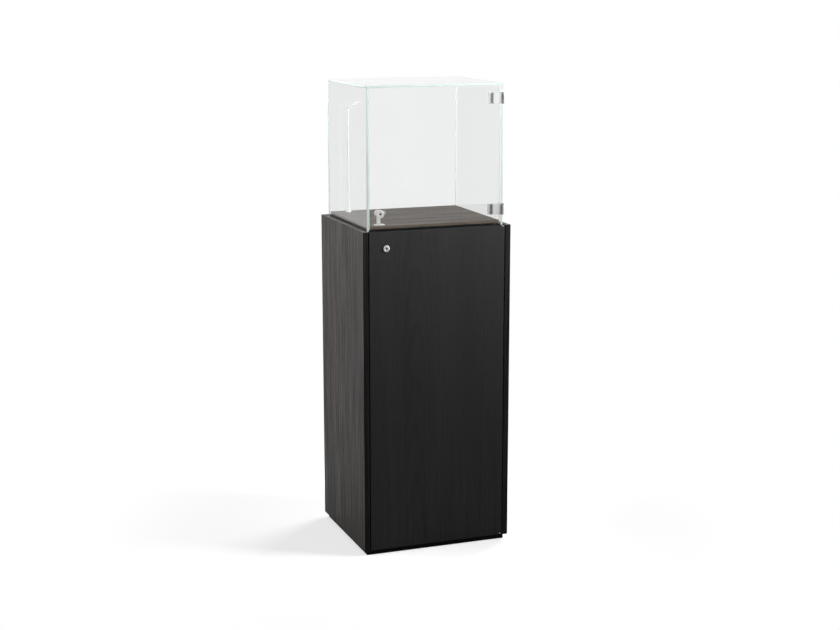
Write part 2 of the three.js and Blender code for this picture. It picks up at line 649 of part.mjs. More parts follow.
// One glass door hinge, about its own axis at x = 0, y = 0, with its middle at z = 0.
function glassHinge(where) {
  const half = HINGE_HEIGHT / 2;
  const third = HINGE_HEIGHT / 3;
  const middle = third / 2;
  const paneFront = HINGE_AXIS_FORWARD;
  const paneBack = paneFront + GLASS;
  const doorEdge = -HINGE_AXIS_SIDE;
  const paneInner = doorEdge + GLASS_DOOR_HINGE_GAP;
  const paneOuter = paneInner + GLASS;
  const sunk = HINGE_PIN_RADIUS + FIT;

  // Clamp: a channel over the side pane's front edge, with the middle knuckle.
  const clampFront = paneFront - PAD_GAP - CLAMP_FRONT_WALL;
  const x0 = paneInner - PAD_GAP - CLAMP_WALL;
  const x1 = paneOuter + PAD_GAP + CLAMP_WALL;
  const clampEnd = clampFront + CLAMP_LENGTH;
  const clamp = cut(
    join(
      cut(block(x0, x1, clampFront, clampEnd, -half, half),
        block(paneInner - PAD_GAP, paneOuter + PAD_GAP, paneFront - PAD_GAP, clampEnd + OVERRUN,
          -half - OVERRUN, half + OVERRUN)),
      rodZ(KNUCKLE_RADIUS, -middle + KNUCKLE_GAP, middle - KNUCKLE_GAP, 0, 0),
      block(-KNUCKLE_WEB / 2, KNUCKLE_WEB / 2, 0, clampFront + OVERRUN,
        -middle + KNUCKLE_GAP, middle - KNUCKLE_GAP),
    ),
    clampCornerCut(x0 - OVERRUN, x1 + OVERRUN, clampEnd, half, 1),
    clampCornerCut(x0 - OVERRUN, x1 + OVERRUN, clampEnd, half, -1),
    rodZ(HINGE_PIN_RADIUS + FIT / 2, -half, half, 0, 0),
  );

  // Front plate: seen from above it steps from a thin end to a full body and ends in the two
  // outer knuckles; seen from the front its corners are round.
  const plateBack = paneFront - PAD_GAP;
  const plateLeft = doorEdge - LEAF_LENGTH;
  const stepX = plateLeft + LEAF_THIN_LENGTH;
  const relief = x0 - FIT;
  const reliefFront = clampFront - 2 * FIT;
  const section = polygon([
    [plateLeft, plateBack], [plateLeft, plateBack - LEAF_THIN], [stepX, plateBack - LEAF_THIN],
    [stepX + LEAF_SLOPE, plateBack - LEAF_THICK], [0, plateBack - LEAF_THICK], [0, sunk],
    [relief, reliefFront], [relief, plateBack],
  ]);
  const plateBody = extruded(section, HINGE_HEIGHT).translate(0, 0, -half);
  const frontOutline = facingFront(extruded(
    roundedRectangle(plateLeft - OVERRUN, KNUCKLE_RADIUS + OVERRUN, -half, half,
      [0, LEAF_CORNER, LEAF_CORNER, 0]), 2 * LEAF_LENGTH), 2 * LEAF_LENGTH, -LEAF_LENGTH);
  const knuckles = join(plateBody, rodZ(KNUCKLE_RADIUS, -half, half, 0, 0, FINE));
  const plate = cut(
    toGeometry(toSolid(knuckles).intersect(toSolid(frontOutline))),
    rodZ(KNUCKLE_RADIUS + 2 * FIT, -middle, middle, 0, 0),
    block(-KNUCKLE_RADIUS - FIT, KNUCKLE_RADIUS + OVERRUN, 0, clampFront, -middle, middle),
    rodZ(HINGE_PIN_RADIUS + FIT / 2, -half - OVERRUN, half + OVERRUN, 0, 0),
  );

  // Back plate inside the glass door, with a boss through the glass.
  const innerFace = paneBack + PAD_GAP;
  const bossX = doorEdge - BOSS_INSET;
  const backPlate = join(
    facingFront(extruded(roundedRectangle(doorEdge - BACK_PLATE_LENGTH, doorEdge - FIT, -half, half,
      LEAF_CORNER), BACK_PLATE), BACK_PLATE, innerFace),
    rodY(BOSS_RADIUS, plateBack + FIT / 2, innerFace + OVERRUN, bossX, 0, FINE),
  );

  // Pin with a head at each end.
  const pin = join(
    rodZ(HINGE_PIN_RADIUS, -half - FIT, half + FIT, 0, 0),
    rodZ(HINGE_PIN_HEAD_RADIUS, half + FIT / 2, half + FIT / 2 + HINGE_PIN_HEAD, 0, 0),
    rodZ(HINGE_PIN_HEAD_RADIUS, -half - FIT / 2 - HINGE_PIN_HEAD, -half - FIT / 2, 0, 0),
  );
  return placed(hingeX, hingeY, hingeHeights[where],
    part(`hinge_${where}_clamp`, clamp, chrome),
    part(`hinge_${where}_front_plate`, plate, chrome),
    part(`hinge_${where}_back_plate`, backPlate, chrome),
    part(`hinge_${where}_pin`, pin, chrome));
}

// Rounds the clamp's back corners, seen from the side: what lies outside the arc is cut away.
function clampCornerCut(x0, x1, clampEnd, half, up) {
  const corner = block(x0, x1, clampEnd - CLAMP_CORNER, clampEnd + OVERRUN,
    Math.min(up * (half - CLAMP_CORNER), up * (half + OVERRUN)),
    Math.max(up * (half - CLAMP_CORNER), up * (half + OVERRUN)));
  const round = rodX(CLAMP_CORNER, x0 - OVERRUN, x1 + OVERRUN, clampEnd - CLAMP_CORNER,
    up * (half - CLAMP_CORNER), FINE);
  return cut(corner, round);
}

// ---------------------------------------------------------------- light

function light() {
  const wireWay = WIRE_RADIUS + FIT;
  const socket = POLE_RADIUS + FIT;
  const foot = turned([
    [wireWay, 0], [wireWay, LIGHT_FLOOR], [socket, LIGHT_FLOOR], [socket, LIGHT_COLLAR],
    [LIGHT_COLLAR_RADIUS - LIGHT_BEVEL, LIGHT_COLLAR],
    [LIGHT_COLLAR_RADIUS, LIGHT_COLLAR - LIGHT_BEVEL],
    [LIGHT_COLLAR_RADIUS, LIGHT_FOOT], [LIGHT_FOOT_RADIUS - LIGHT_BEVEL, LIGHT_FOOT],
    [LIGHT_FOOT_RADIUS, LIGHT_FOOT - LIGHT_BEVEL], [LIGHT_FOOT_RADIUS, 0],
  ]).rotateX(Math.PI / 2);

  const lugHalf = LUG_THICKNESS / 2;
  const poleTop = POLE_HEIGHT - POLE_NECK;
  const pole = cut(
    join(
      rodZ(POLE_RADIUS, LIGHT_FLOOR, poleTop, 0, 0, FINE),
      block(-NECK_WIDTH / 2, NECK_WIDTH / 2, -lugHalf, lugHalf, poleTop - OVERRUN, POLE_HEIGHT),
      rodY(LUG_RADIUS, -lugHalf, lugHalf, 0, POLE_HEIGHT),
    ),
    rodY(TILT_PIN_RADIUS + FIT / 2, -lugHalf - OVERRUN, lugHalf + OVERRUN, 0, POLE_HEIGHT),
  );

  // Head along +X about its tilt axis: a bar with a round slotted end and a round tip.
  const halfWidth = HEAD_WIDTH / 2;
  const halfThick = HEAD_THICKNESS / 2;
  const barRadii = [halfThick, halfThick / 2, halfThick, halfThick];
  const bar = facingFront(extruded(roundedRectangle(-halfThick, HEAD_LENGTH, -halfThick, halfThick,
    barRadii), HEAD_WIDTH), HEAD_WIDTH, -halfWidth);
  const lensStart = HEAD_LENGTH - LENS_LENGTH - LENS_FROM_TIP;
  const slotHalf = lugHalf + FIT;
  const head = cut(bar,
    block(-halfThick - OVERRUN, HEAD_SLOT, -slotHalf, slotHalf,
      -halfThick - OVERRUN, halfThick + OVERRUN),
    rodY(TILT_PIN_RADIUS + FIT / 2, -halfWidth - OVERRUN, halfWidth + OVERRUN, 0, 0),
    block(lensStart - FIT, lensStart + LENS_LENGTH + FIT, -LENS_WIDTH / 2 - FIT,
      LENS_WIDTH / 2 + FIT, -halfThick - OVERRUN, -halfThick + LENS_DEPTH));
  const lens = block(lensStart, lensStart + LENS_LENGTH, -LENS_WIDTH / 2, LENS_WIDTH / 2,
    -halfThick, -halfThick + LENS_DEPTH - FIT);
  const tiltPin = rodY(TILT_PIN_RADIUS, -halfWidth, halfWidth, 0, 0);

  const tilted = placed(0, 0, POLE_HEIGHT,
    part('light_head', head, whiteEnamel),
    part('light_lens', lens, lightLens),
    part('light_tilt_pin', tiltPin, zincSteel));
  tilted.rotation.y = -THREE.MathUtils.degToRad(HEAD_TILT);
  return placed(lightX, lightY, deckTop,
    part('light_foot', foot, whiteEnamel), part('light_pole', pole, whiteEnamel), tilted);
}

function lightSupply() {
  const x0 = lightX - DRIVER_LENGTH / 2;
  const y0 = lightY - DRIVER_WIDTH / 2;
  const x1 = x0 + DRIVER_LENGTH;
  const housing = extruded(roundedRectangle(x0, x1, y0, y0 + DRIVER_WIDTH, DRIVER_CORNER),
    DRIVER_HEIGHT).translate(0, 0, topPanelUnder - DRIVER_HEIGHT);
  const socket = rodX(SOCKET_RADIUS, x1 - SOCKET_DEPTH, x1 + OVERRUN,
    lightY, topPanelUnder - DRIVER_HEIGHT / 2);
  const wire = rodZ(WIRE_RADIUS, topPanelUnder, deckTop + LIGHT_FLOOR, lightX, lightY);
  return [
    part('light_driver', cut(housing, socket), blackPlastic),
    part('light_wire', wire, blackPlastic),
  ];
}

// ---------------------------------------------------------------- assembly

const displayCase = new THREE.Group();
displayCase.add(
  ...plinth(),
  ...body(),
  ...cabinetDoor(),
  placed(woodLockX, front, woodLockZ,
    ...camLock('cabinet_lock', WOOD_LOCK, DOOR_THICKNESS, -1)),
  cabinetStrike(),
  ...deck(),
  ...glassPanes(),
  glassHinge('top'),
  glassHinge('bottom'),
  placed(glassLockX, caseFront, glassLockZ, ...camLock('glass_lock', GLASS_LOCK, GLASS, 1)),
  deckStrike(),
  light(),
  ...lightSupply(),
);

export default displayCase;
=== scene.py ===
"""Looks of the pedestal display case, round its fixed CAD frame.

Metres, +Z up, front towards -Y. The CAD nodes keep their meshes. Here they get softened edges
and procedural materials, and the small fasteners, the floor, the lamps and the camera are added.
"""

import math

import bmesh
import bpy
from mathutils import Euler, Matrix, Vector


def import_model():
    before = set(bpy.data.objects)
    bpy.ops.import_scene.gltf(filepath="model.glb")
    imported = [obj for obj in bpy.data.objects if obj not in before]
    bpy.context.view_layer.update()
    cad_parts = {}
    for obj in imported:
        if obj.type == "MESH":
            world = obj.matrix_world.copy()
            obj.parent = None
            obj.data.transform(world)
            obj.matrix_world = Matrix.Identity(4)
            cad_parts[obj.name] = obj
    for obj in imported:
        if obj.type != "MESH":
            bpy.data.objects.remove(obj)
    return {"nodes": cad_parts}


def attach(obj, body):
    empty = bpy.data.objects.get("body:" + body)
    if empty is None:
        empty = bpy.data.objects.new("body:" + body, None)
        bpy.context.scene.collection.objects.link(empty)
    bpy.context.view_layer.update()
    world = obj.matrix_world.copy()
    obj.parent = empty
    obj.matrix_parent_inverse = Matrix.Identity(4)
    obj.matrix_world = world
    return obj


MM = 0.001

# The camera stands where the photograph's did, a little further back, and isn't shifted.
CAMERA_PLACE = (-1.6265, -4.3826, 1.6257)
CAMERA_YAW = 20.574
CAMERA_PITCH = 11.623
CAMERA_SENSOR = 36.0
CAMERA_LENS = 68.53

# Light that the white surroundings throw on the object.
WORLD_STRENGTH = 0.19

# The floor shows the lamps' light and shadows up to the lit radius, and is plain white from the
# white radius on. The lift is added to its lit part, and is lower where a shiny face mirrors it.
FLOOR_RADIUS = 30.0
FLOOR_LIT_RADIUS = 0.4
FLOOR_WHITE_RADIUS = 1.0
FLOOR_LIFT = 0.545
FLOOR_MIRRORED_LIFT = 0.08
FLOOR_SHOWN_ALBEDO = 0.95
FLOOR_BOUNCE_ALBEDO = 0.4

# What is left of the background's brightness for shiny faces that mirror the front and the left,
# and how far towards that side the dimming starts and ends.
FRONT_DIM = 0.15
FRONT_DIM_FROM = 0.3
FRONT_DIM_TO = 0.8
LEFT_DIM = 0.6
LEFT_DIM_FROM = 0.05
LEFT_DIM_TO = 0.3

# Place, target, side, power and beam angle of each soft lamp.
LAMPS = {
    "left": ((-1.95, 0.45, 1.75), (0.0, 0.0, 1.5), 1.2, 16.5, 85.0),
    "front_right": ((1.8, -1.0, 1.8), (0.0, 0.0, 1.5), 1.0, 30.0, 80.0),
    "back_right": ((1.9, 1.4, 1.5), (0.0, 0.0, 1.1), 1.4, 15.0, 100.0),
    "fill": ((-1.2, -2.2, 1.9), (0.1, 0.0, 1.6), 0.9, 1.8, 36.0),
}
# Lamps that shiny faces don't mirror. The back pane would show this one as a white sheet.
UNMIRRORED_LAMPS = ("back_right",)

# Ground edges, as bevel widths.
BOARD_EDGE = 0.5 * MM
GLASS_EDGE = 0.5 * MM
METAL_EDGE = 0.35 * MM
PLASTIC_EDGE = 0.6 * MM
EDGE_SEGMENTS = 2

# Corners steeper than this are edges. Flatter ones belong to a round.
CORNER_ANGLE = math.radians(28)
SCREW_CORNER_ANGLE = math.radians(35)
COPLANAR_ANGLE = math.radians(0.5)
WELD_DISTANCE = 0.001 * MM

# x and z of the axes of the two locks, in millimetres, and the radius and soft rim of the
# painted shade in the mouths of their keyholes.
LOCK_AXES = ((-155.5, 903.0), (-168.0, 999.0))
KEYHOLE_SHADE_RADIUS = 3.0 * MM
KEYHOLE_SHADE_BLUR = 0.3 * MM

# Turn of the first screw of a row, and from each screw to the next, in radians.
SCREW_TURN = 0.5
SCREW_TURN_STEP = 1.9

WHITE = (1.0, 1.0, 1.0, 1.0)
NICKEL = (0.72, 0.715, 0.7, 1.0)


# ---------------------------------------------------------------- small helpers


def grey(level):
    return (level, level, level, 1.0)


def scaled(colour, share):
    """A darker or lighter colour, no channel of it above 1."""
    return tuple(min(1.0, share * channel) for channel in colour[:3]) + (1.0,)


def srgb(red, green, blue):
    """A linear colour from 8-bit display values."""
    def linear(value):
        share = value / 255
        return share / 12.92 if share <= 0.04045 else ((share + 0.055) / 1.055) ** 2.4

    return (linear(red), linear(green), linear(blue), 1.0)


class Graph:
    """The node tree of a material or of the world."""

    def __init__(self, owner):
        owner.use_nodes = True
        self.tree = owner.node_tree
        self.tree.nodes.clear()

    def node(self, kind, inputs=(), **settings):
        made = self.tree.nodes.new(kind)
        for name, value in settings.items():
            setattr(made, name, value)
        for name, value in dict(inputs).items():
            if isinstance(value, bpy.types.NodeSocket):
                self.tree.links.new(value, made.inputs[name])
            else:
                made.inputs[name].default_value = value
        return made

    def math(self, operation, first, second=0.0, clamp=False):
        made = self.node("ShaderNodeMath", {0: first, 1: second}, operation=operation)
        made.use_clamp = clamp
        return made.outputs[0]

    def ramp(self, value, low, high):
        """0 below low, 1 above high and smooth in between."""
        made = self.node(
            "ShaderNodeMapRange",
            {"Value": value, "From Min": low, "From Max": high},
            interpolation_type="SMOOTHSTEP",
        )
        return made.outputs[0]

    def noise(self, vector, detail=2.0, roughness=0.5, scale=1.0):
        made = self.node(
            "ShaderNodeTexNoise",
            {
                "Vector": vector,
                "Scale": scale,
                "Detail": detail,
                "Roughness": roughness,
            },
        )
        return made.outputs["Fac"]

    def stretched(self, vector, scale):
        made = self.node("ShaderNodeVectorMath", {0: vector, 1: scale}, operation="MULTIPLY")
        return made.outputs[0]

    def mix_colour(self, factor, first, second):
        made = self.node("ShaderNodeMix", {0: factor, 6: first, 7: second}, data_type="RGBA")
        return made.outputs[2]

    def bump(self, height, strength, distance):
        made = self.node(
            "ShaderNodeBump",
            {"Height": height, "Strength": strength, "Distance": distance},
        )
        return made.outputs[0]

    def surface(self, shader, kind="ShaderNodeOutputMaterial"):
        out = self.tree.nodes.new(kind)
        self.tree.links.new(shader, out.inputs["Surface"])


def new_material(name):
    material = bpy.data.materials.new(name)
    return material, Graph(material)


def principled(graph, inputs):
    return graph.node("ShaderNodeBsdfPrincipled", inputs).outputs[0]


# ---------------------------------------------------------------- wood

# Noise scales across, through and along the grain.
SWAY_SCALE = (5.0, 5.0, 1.6)
BROAD_SCALE = (16.0, 16.0, 1.4)
STREAK_SCALE = (230.0, 230.0, 4.0)
FINE_SCALE = (900.0, 900.0, 16.0)
PORE_SCALE = (1500.0, 1500.0, 45.0)

SWAY_REACH = 0.035
RING_SHARPNESS = 2.5
PORE_FROM = 0.56
PORE_TO = 0.68


def along_grain(graph, grain):
    """Object coordinates turned so that the grain runs along the third one."""
    place = graph.node("ShaderNodeTexCoord").outputs["Object"]
    split = graph.node("ShaderNodeSeparateXYZ", {0: place}).outputs
    order = {"X": (1, 2, 0), "Y": (0, 2, 1), "Z": (0, 1, 2)}[grain]
    across, through, along = (split[axis] for axis in order)
    made = graph.node("ShaderNodeCombineXYZ", {0: across, 1: through, 2: along})
    return made.outputs[0], (across, through, along)


def face_share(graph, axis, low=0.5, high=0.8):
    """1 on the faces square to an axis such as X, or on those that look along it, as for +X
    or -X, and 0 on the others."""
    normal = graph.node("ShaderNodeTexCoord").outputs["Normal"]
    facing = graph.node("ShaderNodeSeparateXYZ", {0: normal}).outputs["XYZ".index(axis[-1])]
    if len(axis) == 1:
        facing = graph.math("ABSOLUTE", facing)
    else:
        facing = graph.math("MULTIPLY", facing, -1.0 if axis[0] == "-" else 1.0)
    return graph.ramp(facing, low, high)


def growth_rings(graph, coordinates, place, pith, lean, spacing):
    """The rings that a sliced log shows: tight lines at the sides and pointed arches over the
    pith. The pith passes through a point and leans away from the board as it rises."""
    across, through, along = place
    sway = graph.noise(graph.stretched(coordinates, SWAY_SCALE), detail=2.0)
    away = graph.math("ADD", graph.math("SUBTRACT", across, pith[0]),
                      graph.math("MULTIPLY", graph.math("SUBTRACT", sway, 0.5), SWAY_REACH))
    depth = graph.math("ADD", graph.math("SUBTRACT", through, pith[1]),
                       graph.math("MULTIPLY", along, lean))
    radius = graph.math("SQRT", graph.math(
        "ADD", graph.math("MULTIPLY", away, away), graph.math("MULTIPLY", depth, depth)))
    phase = graph.math("FRACT", graph.math("DIVIDE", radius, spacing))
    return graph.math("POWER", phase, RING_SHARPNESS)


def wood(name, colour, grain, pith, lean=0.05, spacing=0.0075, figure=1.0, roughness=0.5,
         specular=0.12, warmth=1.0, edges=()):
    """Open-pored wood grain. figure is how strongly it shows, warmth how far it turns from the
    colour to red. edges lists an axis as for face_share, and the tone and the added roughness of
    the faces that it names. A tone below 1 darkens those faces, and a tone above 1 lightens them
    as painted light."""
    material, graph = new_material(name)
    coordinates, place = along_grain(graph, grain)
    broad = graph.noise(graph.stretched(coordinates, BROAD_SCALE), detail=3.0)
    streak = graph.noise(graph.stretched(coordinates, STREAK_SCALE), detail=3.0)
    fine = graph.noise(graph.stretched(coordinates, FINE_SCALE), detail=2.0)
    pores = graph.ramp(graph.noise(graph.stretched(coordinates, PORE_SCALE), detail=1.0),
                       PORE_FROM, PORE_TO)
    rings = growth_rings(graph, coordinates, place, pith, lean, spacing)

    # Each layer with its middle value and its share in the tone.
    tone = 1.0
    for layer, middle, share in (
        (broad, 0.5, 0.5), (streak, 0.5, 0.55), (fine, 0.5, 0.4), (rings, 0.3, -0.16),
        (pores, 0.15, -0.22),
    ):
        part = graph.math("MULTIPLY", graph.math("SUBTRACT", layer, middle), share * figure)
        tone = graph.math("ADD", part, tone)
    dullness = roughness
    # Tones above 1 here are painted light on the named faces.
    for axis, edge_darkening_and_painted_light, edge_dullness in edges:
        share = face_share(graph, axis)
        change = graph.math("MULTIPLY", share, edge_darkening_and_painted_light - 1.0)
        tone = graph.math("MULTIPLY", tone, graph.math("ADD", change, 1.0))
        dullness = graph.math("ADD", graph.math("MULTIPLY", share, edge_dullness), dullness)

    red, green, blue = colour[:3]
    warm = (red * (1.0 + 0.1 * warmth), green, blue * (1.0 - 0.08 * warmth), 1.0)
    tint = graph.mix_colour(graph.ramp(broad, 0.35, 0.65), colour, warm)
    shaded = graph.node("ShaderNodeVectorMath", {0: tint, "Scale": tone}, operation="SCALE")
    height = graph.math("SUBTRACT", graph.math("MULTIPLY", fine, 0.35), pores)
    streaky = graph.math("MULTIPLY", graph.math("SUBTRACT", 0.5, streak), 0.9)
    rough = graph.math("ADD", graph.math("MULTIPLY", pores, 0.12),
                       graph.math("ADD", streaky, dullness))
    graph.surface(principled(graph, {
        "Base Color": shaded.outputs[0],
        "Roughness": rough,
        "Specular IOR Level": specular,
        "Normal": graph.bump(height, 0.25, 0.25 * MM),
    }))
    return material


def board_black(name):
    """Black-faced board with a faint, fine mottle."""
    material, graph = new_material(name)
    place = graph.node("ShaderNodeTexCoord").outputs["Object"]
    mottle = graph.noise(place, detail=4.0, roughness=0.6, scale=220.0)
    graph.surface(principled(graph, {
        "Base Color": graph.mix_colour(mottle, srgb(7, 7, 7), srgb(15, 14, 14)),
        "Roughness": graph.math("ADD", graph.math("MULTIPLY", mottle, 0.2), 0.7),
        "Specular IOR Level": 0.15,
        "Normal": graph.bump(mottle, 0.2, 0.1 * MM),
    }))
    return material


# ---------------------------------------------------------------- glass


def glass(name, thickness_axis, tint):
    """Clear float glass. Its faces are clear. Its polished edges show the glass's grey green,
    and the ones that look down are painted dark and matt, as painted shade of the seat below
    them."""
    material, graph = new_material(name)
    clear = principled(graph, {
        "Base Color": tint,
        "Roughness": 0.0,
        "IOR": 1.5,
        "Transmission Weight": 1.0,
    })
    place = graph.node("ShaderNodeTexCoord").outputs["Object"]
    depth = graph.noise(place, detail=1.0, scale=9.0)
    edge = principled(graph, {
        "Base Color": graph.mix_colour(depth, srgb(182, 196, 191), srgb(199, 210, 206)),
        "Roughness": 0.3,
        "IOR": 1.5,
        "Specular IOR Level": 0.3,
        "Transmission Weight": 0.2,
    })
    # Painted shade: a dark, matt colour for the edges that look down.
    painted_shade_under = principled(graph, {
        "Base Color": graph.mix_colour(depth, srgb(28, 38, 36), srgb(40, 52, 49)),
        "Roughness": 0.8,
        "Specular IOR Level": 0.0,
    })
    normal = graph.node("ShaderNodeTexCoord").outputs["Normal"]
    upward = graph.node("ShaderNodeSeparateXYZ", {0: normal}).outputs[2]
    inside = graph.node("ShaderNodeNewGeometry").outputs["Backfacing"]
    outward = graph.math("SUBTRACT", 1.0, graph.math("MULTIPLY", inside, 2.0))
    painted_shade_down = graph.math("LESS_THAN", graph.math("MULTIPLY", upward, outward), -0.1)
    rim = graph.node("ShaderNodeMixShader", {0: painted_shade_down, 1: edge, 2: painted_shade_under})
    face = face_share(graph, thickness_axis, 0.9, 0.98)
    seen = graph.node("ShaderNodeMixShader", {0: face, 1: rim.outputs[0], 2: clear})
    path = graph.node("ShaderNodeLightPath").outputs
    passing = graph.math("MAXIMUM", path["Is Shadow Ray"], path["Is Diffuse Ray"])
    open_way = graph.node("ShaderNodeBsdfTransparent", {"Color": (0.93, 0.95, 0.94, 1.0)})
    graph.surface(graph.node(
        "ShaderNodeMixShader", {0: passing, 1: seen.outputs[0], 2: open_way.outputs[0]}
    ).outputs[0])
    return material


# ---------------------------------------------------------------- metal and plastic


def metal(name, colour, roughness, smudge=0.05, brushed=None, polish=1.0, keyhole_shades=()):
    """Plated metal with faint smudges, and brush lines along an axis where one is given. A low
    polish makes it matt. keyholes lists x and z of keyholes, in millimetres, whose mouths get a
    dark disc of painted shade."""
    material, graph = new_material(name)
    place = graph.node("ShaderNodeTexCoord").outputs["Object"]
    smudges = graph.noise(place, detail=4.0, roughness=0.6, scale=90.0)
    inputs = {
        "Base Color": colour,
        "Metallic": polish,
        "Roughness": graph.math("ADD", graph.math("MULTIPLY", smudges, 2 * smudge),
                                roughness - smudge),
    }
    if brushed:
        scale = [1800.0 if axis != brushed else 30.0 for axis in "XYZ"]
        lines = graph.noise(graph.stretched(place, scale), detail=2.0)
        inputs["Normal"] = graph.bump(lines, 0.15, 0.05 * MM)
        inputs["Base Color"] = graph.mix_colour(lines, scaled(colour, 0.85), colour)
    # Painted shade: a dark disc round each keyhole's axis stands for the shade in the keyway.
    for x, z in keyhole_shades:
        from_axis = graph.node("ShaderNodeVectorMath", {
            0: graph.stretched(place, (1.0, 0.0, 1.0)), 1: (x * MM, 0.0, z * MM),
        }, operation="DISTANCE").outputs["Value"]
        inside = graph.ramp(
            from_axis, KEYHOLE_SHADE_RADIUS + KEYHOLE_SHADE_BLUR, KEYHOLE_SHADE_RADIUS - KEYHOLE_SHADE_BLUR)
        inputs["Base Color"] = graph.mix_colour(inside, inputs["Base Color"], srgb(34, 32, 31))
    graph.surface(principled(graph, inputs))
    return material


def enamel(name, colour):
    """Satin powder coat with a faint orange peel."""
    material, graph = new_material(name)
    place = graph.node("ShaderNodeTexCoord").outputs["Object"]
    peel = graph.noise(place, detail=2.0, scale=900.0)
    graph.surface(principled(graph, {
        "Base Color": colour,
        "Roughness": graph.math("ADD", graph.math("MULTIPLY", peel, 0.1), 0.28),
        "Normal": graph.bump(peel, 0.08, 0.05 * MM),
    }))
    return material


def plastic(name, colour, roughness=0.45):
    """Moulded plastic with a fine spark-eroded grain."""
    material, graph = new_material(name)
    place = graph.node("ShaderNodeTexCoord").outputs["Object"]
    grain = graph.noise(place, detail=3.0, scale=2400.0)
    graph.surface(principled(graph, {
        "Base Color": graph.mix_colour(grain, colour, scaled(colour, 1.35)),
        "Roughness": graph.math("ADD", graph.math("MULTIPLY", grain, 0.2), roughness - 0.1),
        "Normal": graph.bump(grain, 0.2, 0.04 * MM),
    }))
    return material


def lens(name):
    """Frosted cover of the light, with a soft glow."""
    material, graph = new_material(name)
    place = graph.node("ShaderNodeTexCoord").outputs["Object"]
    frost = graph.noise(place, detail=2.0, scale=1500.0)
    graph.surface(principled(graph, {
        "Base Color": srgb(236, 232, 220),
        "Roughness": 0.35,
        "Emission Color": srgb(255, 244, 222),
        "Emission Strength": 0.5,
        "Normal": graph.bump(frost, 0.1, 0.05 * MM),
    }))
    return material


# ---------------------------------------------------------------- softened CAD nodes


def smoothing_group():
    """Geometry nodes that join the split corners and keep only the real edges sharp."""
    group = bpy.data.node_groups.new("weld_and_smooth", "GeometryNodeTree")
    group.interface.new_socket("Geometry", in_out="INPUT", socket_type="NodeSocketGeometry")
    group.interface.new_socket("Geometry", in_out="OUTPUT", socket_type="NodeSocketGeometry")
    nodes, links = group.nodes, group.links
    entry = nodes.new("NodeGroupInput")
    bare = nodes.new("GeometryNodeRemoveAttribute")
    bare.inputs["Name"].default_value = "custom_normal"
    weld = nodes.new("GeometryNodeMergeByDistance")
    weld.inputs["Distance"].default_value = WELD_DISTANCE
    faces = nodes.new("GeometryNodeSetShadeSmooth")
    faces.inputs["Shade Smooth"].default_value = True
    angle = nodes.new("GeometryNodeInputMeshEdgeAngle")
    steep = nodes.new("FunctionNodeCompare")
    steep.operation = "GREATER_THAN"
    steep.inputs["B"].default_value = CORNER_ANGLE
    edges = nodes.new("GeometryNodeSetShadeSmooth")
    edges.domain = "EDGE"
    edges.inputs["Shade Smooth"].default_value = False
    leave = nodes.new("NodeGroupOutput")
    links.new(entry.outputs[0], bare.inputs["Geometry"])
    links.new(bare.outputs[0], weld.inputs["Geometry"])
    links.new(weld.outputs[0], faces.inputs["Geometry"])
    links.new(faces.outputs[0], edges.inputs["Geometry"])
    links.new(angle.outputs["Unsigned Angle"], steep.inputs["A"])
    links.new(steep.outputs[0], edges.inputs["Selection"])
    links.new(edges.outputs[0], leave.inputs[0])
    return group


def soften(nodes, names, smoothing, width):
    """Joins split corners, smooths rounds and breaks the sharp edges of CAD nodes."""
    for name in names:
        node = nodes[name]
        smooth = node.modifiers.new("smooth", "NODES")
        smooth.node_group = smoothing
        flats = node.modifiers.new("flats", "DECIMATE")
        flats.decimate_type = "DISSOLVE"
        flats.angle_limit = COPLANAR_ANGLE
        bevel = node.modifiers.new("edge", "BEVEL")
        bevel.width = width
        bevel.segments = EDGE_SEGMENTS
        bevel.limit_method = "ANGLE"
        bevel.angle_limit = CORNER_ANGLE
        bevel.use_clamp_overlap = False
        even = node.modifiers.new("even", "WEIGHTED_NORMAL")
        even.keep_sharp = True


# ---------------------------------------------------------------- screws


def loop_at(shape, points, height):
    return [shape.verts.new((x, y, height)) for x, y in points]


def wall_between(shape, lower, upper):
    count = len(lower)
    for index in range(count):
        following = (index + 1) % count
        shape.faces.new((lower[index], lower[following], upper[following], upper[index]))


def circle(radius, count=28):
    return [(radius * math.cos(2 * math.pi * step / count),
             radius * math.sin(2 * math.pi * step / count)) for step in range(count)]


def cross(reach, half):
    """Outline of a cross recess with narrow arms."""
    quarter = [(reach, -half), (reach, half), (half * 1.3, half * 1.3)]
    points = []
    for turn in range(4):
        angle = turn * math.pi / 2
        for x, y in quarter:
            points.append((x * math.cos(angle) - y * math.sin(angle),
                           x * math.sin(angle) + y * math.cos(angle)))
    return points


def screw_mesh(name, radius, rise, recess, depth, materials):
    """A screw head that stands on z = 0: rim, domed shoulder, flat top and the driver's recess.
    The second material is painted on the bottom of the recess as painted shade."""
    shape = bmesh.new()
    profile = ((1.0, -0.15 * MM), (1.0, 0.35 * rise), (0.93, 0.75 * rise), (0.78, rise))
    rings = [loop_at(shape, circle(radius * share), height) for share, height in profile]
    for lower, upper in zip(rings, rings[1:]):
        wall_between(shape, lower, upper)
    mouth = loop_at(shape, recess, rise)
    floor = loop_at(shape, [(0.8 * x, 0.8 * y) for x, y in recess], rise - depth)
    wall_between(shape, floor, mouth)
    bottom = shape.faces.new(floor)
    rim = [shape.edges.get((ring[index], ring[(index + 1) % len(ring)]))
           for ring in (rings[-1], mouth) for index in range(len(ring))]
    bmesh.ops.triangle_fill(shape, use_beauty=True, edges=rim)
    bmesh.ops.recalc_face_normals(shape, faces=shape.faces)
    if bottom.normal.z < 0:
        bmesh.ops.reverse_faces(shape, faces=shape.faces)
    mesh = bpy.data.meshes.new(name)
    shape.faces.index_update()
    # The recess floor takes the second material, as painted shade.
    painted_recess_shade = bottom.index
    shape.to_mesh(mesh)
    shape.free()
    for material in materials:
        mesh.materials.append(material)
    mesh.polygons[painted_recess_shade].material_index = 1
    mesh.shade_smooth()
    mesh.set_sharp_from_angle(angle=SCREW_CORNER_ANGLE)
    return mesh


